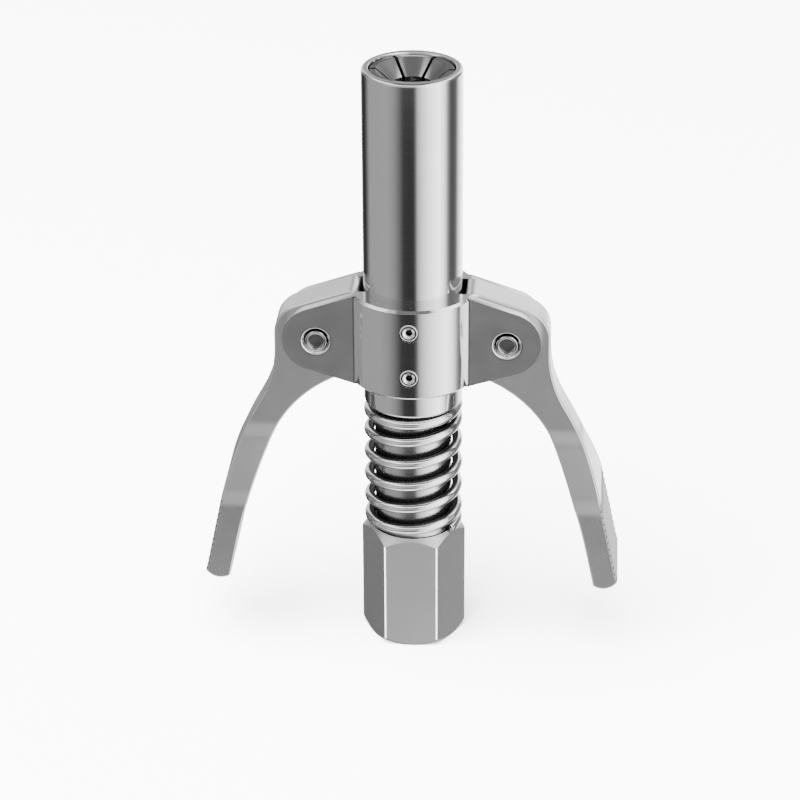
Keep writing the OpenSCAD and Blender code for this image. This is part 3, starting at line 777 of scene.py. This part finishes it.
class LeverShape:
    """The right lever's edges about its pin, in millimetres."""

    def __init__(self, sizes):
        self.pitch = sizes.ridge_pitch / MM
        self.depth = sizes.ridge_depth / MM
        self.ridges = sizes.ridge_count
        self.half_t = sizes.lever_t / MM / 2
        self.pad_half = sizes.pad_w / MM / 2
        self.pad = ARM_ANGLES[2]
        self.rise = FLARE_R * (1 - math.cos(math.radians(FLARE_ANGLE)))
        self.nose = (SLEEVE_HIGH.x - PIVOT.x) / MM + NOSE_GAP
        hollow_c = Vector((LEVER_SIDE + HOLLOW_R, -SIDE_LENGTH))
        self.hollow = arc(hollow_c, HOLLOW_R, 180, 180 + HOLLOW_ANGLE, 12)
        self.outer_c = self.hollow[-1] - polar(OUTER_R, HOLLOW_ANGLE)
        arm_end = self.outer_c + polar(OUTER_R, self.pad)
        flat_start = polar(PIVOT.x / MM - WEB_FACE, 180 + SQUEEZE)
        flat_end = flat_start + polar(FLAT_LENGTH, 270 + SQUEEZE)
        elbow = arc(flat_end - polar(ELBOW_R, ARM_ANGLES[0]), ELBOW_R, ARM_ANGLES[1], ARM_ANGLES[0], 22)
        inner = arc(elbow[0] - polar(INNER_R, ARM_ANGLES[1]), INNER_R, self.pad, ARM_ANGLES[1], 12)
        below = (inner[0].y + LEVER_DROP - TIP_BULGE) / math.cos(math.radians(self.pad))
        self.tip_in = inner[0] + polar(below, self.pad - 90)
        self.tip_out = self.tip_in + polar((arm_end - self.tip_in).dot(polar(1, self.pad)), self.pad)
        self.straight = (self.tip_out - arm_end).length
        self.inside = inner + elbow[1:] + [flat_start]

    def outer_point(self, along):
        """A point on the outer edge, so far up from the tip's corner."""
        if along < self.straight:
            return self.tip_out + polar(along, self.pad + 90)
        return self.outer_c + polar(OUTER_R, self.pad + math.degrees((along - self.straight) / OUTER_R))

    def outer_place(self, spot):
        """How far up the outer edge a point lies, and how deep under it."""
        from_tip = spot - self.tip_out
        along = from_tip.dot(polar(1, self.pad + 90))
        if along < self.straight:
            return along, -from_tip.dot(polar(1, self.pad))
        from_c = spot - self.outer_c
        angle = math.degrees(math.atan2(from_c.y, from_c.x))
        return self.straight + math.radians(angle - self.pad) * OUTER_R, OUTER_R - from_c.length

    def halves(self):
        """The outline above and below the pin, each closed round half of the pin's hole."""
        normal = 90 - TOP_FALL
        cos_n, sin_n = polar(1, normal)
        nose_x, head_x = self.nose + NOSE_ROUND, LEVER_SIDE - HEAD_ROUND
        nose_c = Vector((nose_x, (LEVER_TOP - NOSE_ROUND - cos_n * nose_x) / sin_n))
        head_c = Vector((head_x, (LEVER_TOP - HEAD_ROUND - cos_n * head_x) / sin_n))
        half_tip = (self.tip_out - self.tip_in).length / 2
        tip_r = (half_tip**2 + TIP_BULGE**2) / (2 * TIP_BULGE)
        tip_c = (self.tip_in + self.tip_out) / 2 + polar(tip_r - TIP_BULGE, self.pad + 90)
        down, span = self.pad - 90, math.degrees(math.asin(half_tip / tip_r))
        ridge_end = RIDGE_START + self.pitch * self.ridges
        whole = self.straight + math.radians(HOLLOW_ANGLE - self.pad) * OUTER_R
        plain = spread(whole, ridge_end, 12)[1:]
        ridged = spread(ridge_end, RIDGE_START, 8 * self.ridges)[1:]
        left, right = Vector((self.nose, 0)), Vector((LEVER_SIDE, 0))
        hole = Vector((0, 0))
        above = [left] + arc(nose_c, NOSE_ROUND, 180, normal, 8)
        above += arc(head_c, HEAD_ROUND, normal, 0, 18) + [right]
        above += arc(hole, PIN_HOLE_R, 0, 180, 12)
        below = [right] + self.hollow + [self.outer_point(a) for a in plain + ridged]
        below += arc(tip_c, tip_r, down + span, down - span, 12)
        below += self.inside + [Vector((self.nose, self.nose * math.tan(math.radians(SQUEEZE / 2)))), left]
        below += arc(hole, PIN_HOLE_R, 180, 360, 12)
        return above, below

    def flare_levels(self):
        """Heights at which the flare's hollow, its slant and its bulge end."""
        bend = FLARE_R * math.sin(math.radians(FLARE_ANGLE))
        slant = (self.pad_half - self.half_t - 2 * self.rise) / math.tan(math.radians(FLARE_ANGLE))
        hollow_end = -FLARE_DROP - bend
        return hollow_end, hollow_end - slant, hollow_end - slant - bend

    def half_width(self, x, z):
        """Half the lever's thickness: rounded at the nose, and flaring out to the thumb pad."""
        hollow_end, slant_end, flare_end = self.flare_levels()
        half = self.half_t
        if z < flare_end:
            half = self.pad_half
        elif z < slant_end:
            half = self.pad_half - FLARE_R + math.sqrt(FLARE_R**2 - (z - flare_end) ** 2)
        elif z < hollow_end:
            half = self.half_t + self.rise + (hollow_end - z) * math.tan(math.radians(FLARE_ANGLE))
        elif z < -FLARE_DROP:
            half = self.half_t + FLARE_R - math.sqrt(FLARE_R**2 - (z + FLARE_DROP) ** 2)
        short = NOSE_PLAN - (x - self.nose)
        if short > 0:
            half = self.half_t - NOSE_PLAN + math.sqrt(max(0, NOSE_PLAN**2 - short**2))
        return half

    def notch(self, along):
        """Depth of the grooves between the ridges, at a place up the outer edge."""
        ridge = (along - RIDGE_START) / self.pitch
        if ridge < 0 or ridge > self.ridges:
            return 0.0
        return self.depth * (1 - abs(math.sin(math.pi * ridge)))


def add_finger(bm):
    """Adds the wedge that reaches from the head through the sleeve's window into the stem's groove."""
    start = 180 + SQUEEZE / 2
    end = start + FINGER_WEDGE
    tip = arc(Vector((0, 0)), FINGER_REACH, start, end, 6)
    verts, _ = wire_loop(bm, [polar(FINGER_ROOT, start)] + tip + [polar(FINGER_ROOT, end)])
    bmesh.ops.translate(bm, verts=verts, vec=(0, -FINGER_WIDTH / 2, 0))
    thicken(bm, [bm.faces.new(verts)], FINGER_WIDTH)


def lever_mesh(sizes, shape):
    """The right lever, with its pin at the origin, in millimetres."""
    edge = sizes.lever_edge / MM
    bm = bmesh.new()
    for points in shape.halves():
        verts, _ = wire_loop(bm, points)
        bm.faces.new(verts)
    bmesh.ops.remove_doubles(bm, verts=bm.verts, dist=1e-4)
    bmesh.ops.translate(bm, verts=bm.verts, vec=(0, -shape.half_t, 0))
    thicken(bm, bm.faces[:], 2 * shape.half_t)
    rims = []
    for crease in creases(bm):
        near, far = (vert.co for vert in crease.verts)
        if abs(near.y - far.y) < 1e-4 and math.hypot(near.x, near.z) > PIN_HOLE_R + 0.1:
            rims.append(crease)
    round_edges(bm, rims, edge, 4, clamp=False)
    hollow_end, slant_end, flare_end = shape.flare_levels()
    for height in spread(-FLARE_DROP, hollow_end, 8) + spread(slant_end, flare_end, 8):
        cut_across(bm, (0, 0, height), (0, 0, 1))
    for degrees in range(15, 91, 15):
        across = shape.nose + NOSE_PLAN * (1 - math.cos(math.radians(degrees)))
        cut_across(bm, (across, 0, 0), (1, 0, 0))
    inwards = polar(1, shape.pad)
    for vert in bm.verts:
        spot = Vector((vert.co.x, vert.co.z))
        grown = shape.half_width(*spot) - shape.half_t
        vert.co.y += math.copysign(grown, vert.co.y)
        along, under = shape.outer_place(spot)
        if under < 2 * edge:
            depth = shape.notch(along) * (1 - max(0, under) / (2 * edge))
            vert.co -= Vector((inwards.x, 0, inwards.y)) * depth
    add_finger(bm)
    return bm


def build_levers(sizes, finish):
    """Both levers: the left one is the right one mirrored."""
    shape = LeverShape(sizes)
    # The thumb pads' ridges are darker, with painted shade in their grooves
    metal = plated_metal(
        "plated_lever", finish.lever_tint, finish.lever_rough, (1400, 300, 300), uneven=0.12,
        blur=lambda coords: flare_blur(coords, shape), darken=lambda coords: ridge_faces(coords, shape),
    )
    for side, name in ((1, "right"), (-1, "left")):
        bm = lever_mesh(sizes, shape)
        move(bm, Matrix.Scale(MM, 4))
        move(bm, Matrix.Translation(PIVOT))
        move(bm, Matrix.Diagonal((side, 1, 1, 1)))
        face_outwards(bm)
        finish_piece(f"squeeze_lever_{name}", bm, metal, f"{name}_lever", [f"lever_{name}"])


def build_pins(sizes, finish):
    """The lever pins, with a cup in each end."""
    metal = pin_metal("turned_pin", finish.pin_tint, sizes.pin_cup_r)
    for side in ("left", "right"):
        low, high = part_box(f"lever_pin_{side}")
        middle, half = (low + high) / 2, (high.y - low.y) / 2
        radius, floor = (high.z - low.z) / 2, half - 0.6 * MM
        cup = sizes.pin_cup_r
        bm = turned([
            (0, floor), (cup, floor), (cup, half), (radius, half),
            (radius, -half), (cup, -half), (cup, -floor), (0, -floor),
        ], closed=False, steps=64)
        rims = [(r, z) for r in (cup, radius) for z in (half, -half)]
        round_edges(bm, ring_edges(bm, *rims), 0.13 * MM, 3)
        move(bm, Matrix.Translation(middle) @ Matrix.Rotation(math.pi / 2, 4, "X"))
        face_outwards(bm)
        finish_piece(f"turned_pin_{side}", bm, metal, "sleeve_group", [f"lever_pin_{side}"])


def build_set_screws(sizes, finish):
    """The headless set screws: a dished end with a groove ring and a hex socket."""
    groove_r, groove_half, groove_depth = 1.07 * MM, 0.08 * MM, 0.16 * MM
    socket_depth, drill_tip, sunk = 1.2 * MM, 0.3 * MM, 0.3 * MM
    metal = screw_metal("plated_screw", finish.screw_tint, sizes.socket_r, groove_r)
    for place in ("upper", "lower"):
        low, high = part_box(f"set_screw_{place}")
        depth, radius = high.y - low.y, (high.z - low.z) / 2
        socket, floor = sizes.socket_r, depth - socket_depth
        bm = turned([
            (0, 0), (radius, 0), (radius, depth), (groove_r + groove_half, depth),
            (groove_r, depth - groove_depth), (groove_r - groove_half, depth),
            (socket, depth - sunk), (socket, floor), (0, floor - drill_tip),
        ], closed=False, steps=48)
        for vert in bm.verts:
            if on_ring(vert, socket, depth - sunk) or on_ring(vert, socket, floor):
                angle = math.atan2(vert.co.y, vert.co.x)
                vert.co.xy = polar(hex_radius(socket, angle), math.degrees(angle))
        round_edges(bm, ring_edges(bm, (radius, depth)), 0.25 * MM, 4)
        middle = Vector(((low.x + high.x) / 2, high.y, (low.z + high.z) / 2))
        move(bm, Matrix.Translation(middle) @ Matrix.Rotation(math.pi / 2, 4, "X"))
        face_outwards(bm)
        node = f"set_screw_{place}"
        finish_piece(f"set_screw_with_socket_{place}", bm, metal, "sleeve_group", [node])


# Turns at each end of a spring: lying closed, leading into the pitch, and ground off
CLOSED_TURNS, RAMP_TURNS, GROUND_TURNS = 0.55, 0.3, 0.14
TURN_STEPS = 56


def climb(turn, wire, pitch):
    """Rise of the spring from one end: a closed coil, a ramp, and then an even pitch."""
    ramp = max(0, min(turn - CLOSED_TURNS, RAMP_TURNS))
    free = max(0, turn - CLOSED_TURNS - RAMP_TURNS)
    return wire * turn + (pitch - wire) * (ramp**2 / (2 * RAMP_TURNS) + free)


def wound_wire(box, wire, turns, phase, sides, seat_z):
    """A round wire wound from one end of a box to the other, with closed ends that are ground flat."""
    low, high = box
    wound = turns + 2 * GROUND_TURNS
    steps = int(wound * TURN_STEPS)
    mean_r = (high.x - low.x) / 2 - wire / 2
    rise = high.z - low.z - wire
    pitch = wire + (rise - wire * turns) / (turns - 2 * CLOSED_TURNS - RAMP_TURNS)
    bm = bmesh.new()
    stand = Matrix.Translation((mean_r, 0, low.z + wire / 2)) @ Matrix.Rotation(math.pi / 2, 4, "X")
    bmesh.ops.create_circle(bm, cap_ends=True, segments=sides, radius=wire / 2, matrix=stand)
    start = Matrix.Rotation(phase - TURN * GROUND_TURNS, 3, "Z")
    bmesh.ops.rotate(bm, verts=bm.verts, cent=(0, 0, 0), matrix=start)
    sweep(bm, bm.faces[:], TURN * wound, steps)
    for index, vert in enumerate(bm.verts):
        turn = wound * (index // sides) / steps - GROUND_TURNS
        if turn <= turns / 2:
            vert.co.z += climb(turn, wire, pitch)
        else:
            vert.co.z += rise - climb(turns - turn, wire, pitch)
    round_edges(bm, creases(bm, math.radians(60)), wire * 0.09, 2)
    for vert in bm.verts:
        vert.co.z = min(max(vert.co.z, seat_z), high.z)
    face_outwards(bm)
    return bm


def build_main_spring(sizes, finish):
    """The main spring, pressed flat between the hex and the sleeve."""
    box = SPRING_LOW, SPRING_HIGH
    bm = wound_wire(box, sizes.wire, sizes.spring_turns, sizes.spring_phase, 16, SEAT_Z)
    # The wire's inner half is painted dark as shade between the coils and the stem
    metal = plated_metal(
        "drawn_wire", finish.wire_tint, 0.11, (500, 500, 500),
        darken=lambda coords: coil_insides(coords, sizes.wire),
    )
    spring = finish_piece("coiled_main_spring", bm, metal, "body", ["main_spring"])
    room = SLEEVE_LOW.z - SEAT_Z
    (room - TRAVEL) / room
    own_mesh(spring)


def build_seal_spring(sizes, finish):
    """The seal's spring, in the well at the stem's end."""
    low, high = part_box("seal_spring")
    bm = wound_wire((low, high), sizes.seal_wire, sizes.seal_turns, 0, 12, low.z)
    metal = plated_metal("seal_wire", finish.wire_tint, 0.2, (500, 500, 500))
    spring = finish_piece("coiled_seal_spring", bm, metal, "body", ["seal_spring"])
    travel, room = JOINTS["seal_float"]["range_m"][1], high.z - low.z
    (room - travel) / room
    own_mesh(spring)


def build_jaws(sizes, finish):
    """The six jaws, each a sector of one turned section, parted by straight slots."""
    # The jaws get painted shade along their slots and a darker tone left and right of the middle
    metal = plated_metal("hardened_jaw", finish.jaw_tint, 0.16, (120, 120, 2600), darken=jaw_shade_mask)
    low, high = JAW_LOW.z, JAW_HIGH.z
    wall, head_r = 6.0 * MM, 6.666 * MM
    head_z = high - (head_r - wall) / CONE_SLOPE
    lip_low, lip_high = LIP_Z - LIP_H / 2, LIP_Z + LIP_H / 2
    step = 0.55 * MM
    pocket_r = LIP_R + step
    shelf = lip_low - 4 * MM
    hook_r, flange_r, seal_r = 4.05 * MM, 5.05 * MM, SEAL_HIGH.x + 0.15 * MM
    hook_z, flange_z = low + 2.2 * MM, BODY_HIGH.z + JAW_GAP
    ring_z, ring_half, ring_r = low + 1.1 * MM, 0.55 * MM, 5.15 * MM
    section = [
        (hook_r, low), (wall, low), (wall, ring_z - ring_half), (ring_r, ring_z - ring_half),
        (ring_r, ring_z + ring_half), (wall, ring_z + ring_half), (wall, head_z), (head_r, high),
        (sizes.funnel_r, high), (LIP_R, lip_high), (LIP_R, lip_low), (pocket_r, lip_low - step),
        (pocket_r, shelf), (seal_r, shelf), (seal_r, flange_z), (flange_r, flange_z), (flange_r, hook_z),
        (hook_r, hook_z),
    ]
    for index in range(JAW_COUNT):
        bm = bmesh.new()
        verts, edges = wire_loop(bm, section)
        bmesh.ops.rotate(bm, verts=verts, cent=(0, 0, 0), matrix=Matrix.Rotation(-JAW_SECTOR / 2, 3, "Z"))
        sweep(bm, verts + edges, JAW_SECTOR, 16)
        for side in (-1, 1):
            normal = Matrix.Rotation(side * JAW_SECTOR / 2, 3, "Z") @ Vector((0, side, 0))
            cut = cut_across(bm, normal * (-sizes.jaw_slot / 2), normal, clear=True)
            bmesh.ops.edgeloop_fill(bm, edges=[g for g in cut if isinstance(g, bmesh.types.BMEdge)])
        tidy(bm)
        seen = [e for e in creases(bm) if min(v.co.z for v in e.verts) > lip_low - TINY]
        round_edges(bm, seen, 0.08 * MM, 2)
        move(bm, Matrix.Rotation(math.radians(90) + JAW_SECTOR * index, 4, "Z"))
        name = f"jaw_{index + 1}"
        finish_piece(f"hardened_{name}", bm, metal, f"jaw_body_{index + 1}", [name])


def build_seal(sizes, finish):
    """The ring seal, dished for the nipple's tip."""
    radius, low, high = SEAL_HIGH.x, SEAL_LOW.z, SEAL_HIGH.z
    dish_r, dish_h = radius - 1.6 * MM, 0.7 * MM
    bm = turned([
        (sizes.seal_hole_r, low), (radius, low), (radius, high), (dish_r, high),
        (sizes.seal_hole_r, high - dish_h),
    ])
    round_edges(bm, creases(bm), 0.12 * MM, 2)
    skin = rubber("seal_rubber", finish.rubber_tint)
    finish_piece("dished_seal", bm, skin, "seal_piston", ["seal"])


def dress_hidden_nodes(finish):
    """Gives the pieces that the sleeve hides their materials: the elastic ring and the seal's cup."""
    cup = plated_metal("turned_cup", finish.pin_tint, 0.25, (120, 120, 2600))
    skin = rubber("elastic_ring", finish.rubber_tint)
    for node, material in (("jaw_ring", skin), ("seal_cup", cup)):
        mesh = frame["nodes"][node].data
        mesh.materials.clear()
        mesh.materials.append(material)


# Brightness of the studio round the camera, by degrees: panels that upright walls mirror, and the backdrop
PANELS = [
    (-180, 2.0), (-165, 0.3), (-150, 0.04), (-136, 0.05), (-126, 0.18), (-114, 0.48), (-60, 0.5), (-44, 0.38),
    (-31, 0.2), (-21, 0.06), (-9, 0.045), (2, 0.05), (7, 0.2), (13, 0.85), (22, 1.5), (34, 2.3), (62, 4.0),
    (75, 2.6), (87, 0.5), (95, 0.15), (105, 0.12), (117, 0.2), (126, 0.9), (135, 2.2), (152, 4.2), (172, 4.2),
    (180, 2.0),
]
BACKDROP = [
    (-180, 0.55), (-172, 0.9), (-163, 1.5), (-152, 1.5), (-143, 0.3), (-128, 0.2), (-114, 0.5), (-60, 0.55),
    (-44, 0.4), (-31, 0.22), (-21, 0.06), (-9, 0.04), (2, 0.05), (7, 0.2), (13, 0.85), (22, 1.6), (34, 2.4),
    (62, 4.0), (75, 2.6), (87, 0.5), (95, 0.2), (118, 0.3), (138, 0.4), (148, 2.6), (162, 3.0), (171, 1.2),
    (180, 0.55),
]
BRIGHTEST = 4.2
LAMP_PLACE = Vector((-0.4, -0.5, 1.5))
LAMP_AIM = Vector((0, 0, 0.04))


def risen(height, low, high):
    """Mask of the directions that rise above an angle, soft from low to high, in degrees."""
    return height.between(math.sin(math.radians(low)), math.sin(math.radians(high)))


def studio_world():
    """A ceiling bright at its sides, a backdrop, panels for upright metal to mirror, and a bright ground."""
    world = bpy.data.worlds.new("studio")
    world.use_nodes = True
    bpy.context.scene.world = world
    tree = world.node_tree
    tree.nodes.clear()
    ray = Value(tree).node("ShaderNodeTexCoord", out="Generated")
    across = ray.node("ShaderNodeSeparateXYZ", None, {"Vector": ray})
    depth, height = across.other("Y"), across.other("Z")
    around = across.math("ARCTAN2", across, depth * -1) - math.radians(CAMERA_AZIMUTH)
    place = across.math("FRACT", around / TURN + 0.5)
    panels, backdrop = (
        place.node(
            "ShaderNodeValToRGB",
            {"stops": [((angle + 180) / 360, level / BRIGHTEST) for angle, level in levels]},
            {"Fac": place},
        ) * BRIGHTEST
        for levels in (PANELS, BACKDROP)
    )
    ground = 0.15 + (depth * -1).between(-0.1, 0.5) * 2.75
    ceiling = 0.25 + across.between(0.3, 0.6) * 3.4 + (across * -1).between(0.3, 0.6) * 2.2
    above_ground = risen(height, -62, -28)
    above_panels = risen(height, -18, -9)
    above_backdrop = risen(height, 30, 44)
    glow = ground * (1 - above_ground) + panels * (above_ground * (1 - above_panels))
    glow = glow + backdrop * (above_panels * (1 - above_backdrop)) + ceiling * above_backdrop
    belt = risen(height, -21, -15) * (1 - risen(height, 13, 20))
    brow = risen(height, 30, 38) * (1 - risen(height, 46, 54))
    glow = glow + (depth * -1).between(0.3, 0.8) * (belt * 0.6 + brow * 3.2)
    sky = glow.node("ShaderNodeBackground", None, {"Color": (1, 1, 1, 1), "Strength": glow})
    sky.node("ShaderNodeOutputWorld", None, {"Surface": sky})


def build_stage(finish):
    """The camera, the floor, a soft lamp and the studio."""
    azimuth, elevation = math.radians(CAMERA_AZIMUTH), math.radians(CAMERA_ELEVATION)
    back = Vector((
        math.sin(azimuth) * math.cos(elevation), -math.cos(azimuth) * math.cos(elevation), math.sin(elevation)
    ))
    lens = bpy.data.cameras.new("photo_view")
    lens.lens = CAMERA_LENS
    lens.sensor_width = 36
    lens.shift_x, lens.shift_y = CAMERA_SHIFT
    lens.clip_start = 0.01
    camera = add_object("photo_view", lens)
    turn = back.to_track_quat("Z", "Y").to_matrix().to_4x4()
    roll = Matrix.Rotation(math.radians(CAMERA_ROLL), 4, "Z")
    camera.matrix_world = Matrix.Translation(CAMERA_TARGET + back * CAMERA_DISTANCE) @ turn @ roll
    bpy.context.scene.camera = camera

    bm = bmesh.new()
    bmesh.ops.create_grid(bm, x_segments=8, y_segments=8, size=3)
    bmesh.ops.translate(bm, verts=bm.verts, vec=(0, 0, -0.02 * MM))
    floor = add_mesh("floor", bm, floor_material(finish.floor_tint))
    floor.visible_glossy = False

    lamp = bpy.data.lights.new("soft_lamp", "AREA")
    lamp.size = 1.8
    lamp.energy = 450
    lamp_object = add_object("soft_lamp", lamp)
    lamp_object.location = LAMP_PLACE
    lamp_object.rotation_euler = (LAMP_AIM - LAMP_PLACE).to_track_quat("-Z", "Y").to_euler()
    lamp_object.visible_glossy = False
    studio_world()


class PieceOperator:
    """What the operators share: each builds its piece from the scene's sizes and finishes."""

    bl_options = {"REGISTER", "UNDO"}

    def settings(self, context):
        """The sizes and finishes that the sidebar shows."""
        return context.scene.coupler_sizes, context.scene.coupler_finish


class COUPLER_OT_stage(PieceOperator, bpy.types.Operator):
    """Set up the camera, the floor and the studio light"""

    bl_idname = "coupler.stage"
    bl_label = "Stage"

    def execute(self, context):
        build_stage(context.scene.coupler_finish)
        return {"FINISHED"}


class COUPLER_OT_hex_body(PieceOperator, bpy.types.Operator):
    """Turn the hex end with its stem, and wind the inlet's thread"""

    bl_idname = "coupler.hex_body"
    bl_label = "Hex body"

    def execute(self, context):
        build_hex_body(*self.settings(context))
        build_inlet_thread(*self.settings(context))
        return {"FINISHED"}


class COUPLER_OT_sleeve(PieceOperator, bpy.types.Operator):
    """Turn the polished sleeve and cut its windows"""

    bl_idname = "coupler.sleeve"
    bl_label = "Sleeve"

    def execute(self, context):
        build_sleeve(*self.settings(context))
        return {"FINISHED"}


class COUPLER_OT_collar(PieceOperator, bpy.types.Operator):
    """Round the collar's and its ears' edges"""

    bl_idname = "coupler.collar"
    bl_label = "Collar"

    def execute(self, context):
        build_collar(*self.settings(context))
        return {"FINISHED"}


class COUPLER_OT_levers(PieceOperator, bpy.types.Operator):
    """Shape both squeeze levers with their ridged thumb pads"""

    bl_idname = "coupler.levers"
    bl_label = "Levers"

    def execute(self, context):
        build_levers(*self.settings(context))
        return {"FINISHED"}


class COUPLER_OT_pins(PieceOperator, bpy.types.Operator):
    """Turn the lever pins"""

    bl_idname = "coupler.pins"
    bl_label = "Lever pins"

    def execute(self, context):
        build_pins(*self.settings(context))
        return {"FINISHED"}


class COUPLER_OT_set_screws(PieceOperator, bpy.types.Operator):
    """Turn the set screws and shape their sockets"""

    bl_idname = "coupler.set_screws"
    bl_label = "Set screws"

    def execute(self, context):
        build_set_screws(*self.settings(context))
        return {"FINISHED"}


class COUPLER_OT_main_spring(PieceOperator, bpy.types.Operator):
    """Wind the main spring"""

    bl_idname = "coupler.main_spring"
    bl_label = "Main spring"

    def execute(self, context):
        build_main_spring(*self.settings(context))
        return {"FINISHED"}


class COUPLER_OT_jaws(PieceOperator, bpy.types.Operator):
    """Turn the jaws and part them"""

    bl_idname = "coupler.jaws"
    bl_label = "Jaws"

    def execute(self, context):
        build_jaws(*self.settings(context))
        return {"FINISHED"}


class COUPLER_OT_seal(PieceOperator, bpy.types.Operator):
    """Turn the seal, wind its spring and dress the pieces that the sleeve hides"""

    bl_idname = "coupler.seal"
    bl_label = "Seal and hidden pieces"

    def execute(self, context):
        build_seal(*self.settings(context))
        build_seal_spring(*self.settings(context))
        dress_hidden_nodes(context.scene.coupler_finish)
        return {"FINISHED"}


OPERATORS = (
    COUPLER_OT_stage, COUPLER_OT_hex_body, COUPLER_OT_sleeve, COUPLER_OT_collar, COUPLER_OT_levers,
    COUPLER_OT_pins, COUPLER_OT_set_screws, COUPLER_OT_main_spring, COUPLER_OT_jaws, COUPLER_OT_seal,
)


class COUPLER_PT_pieces(bpy.types.Panel):
    """The coupler's pieces in the sidebar"""

    bl_idname = "COUPLER_PT_pieces"
    bl_label = "Grease coupler"
    bl_space_type = "VIEW_3D"
    bl_region_type = "UI"
    bl_category = "Coupler"

    def draw(self, context):
        for group in (context.scene.coupler_sizes, context.scene.coupler_finish):
            for name in group.__annotations__:
                self.layout.prop(group, name)
        for operator in OPERATORS:
            self.layout.operator(operator.bl_idname)


CLASSES = (CouplerSizes, CouplerFinish, *OPERATORS, COUPLER_PT_pieces)


def register():
    for cls in CLASSES:
        bpy.utils.register_class(cls)
    bpy.types.Scene.coupler_sizes = bpy.props.PointerProperty(type=CouplerSizes)
    bpy.types.Scene.coupler_finish = bpy.props.PointerProperty(type=CouplerFinish)


def unregister():
    del bpy.types.Scene.coupler_finish
    del bpy.types.Scene.coupler_sizes
    for cls in reversed(CLASSES):
        bpy.utils.unregister_class(cls)


def main():
    register()
    bpy.ops.coupler.stage()
    bpy.ops.coupler.hex_body()
    bpy.ops.coupler.sleeve()
    bpy.ops.coupler.collar()
    bpy.ops.coupler.levers()
    bpy.ops.coupler.pins()
    bpy.ops.coupler.set_screws()
    bpy.ops.coupler.main_spring()
    bpy.ops.coupler.jaws()
    bpy.ops.coupler.seal()
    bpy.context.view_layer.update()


if __name__ == "__main__":
    main()
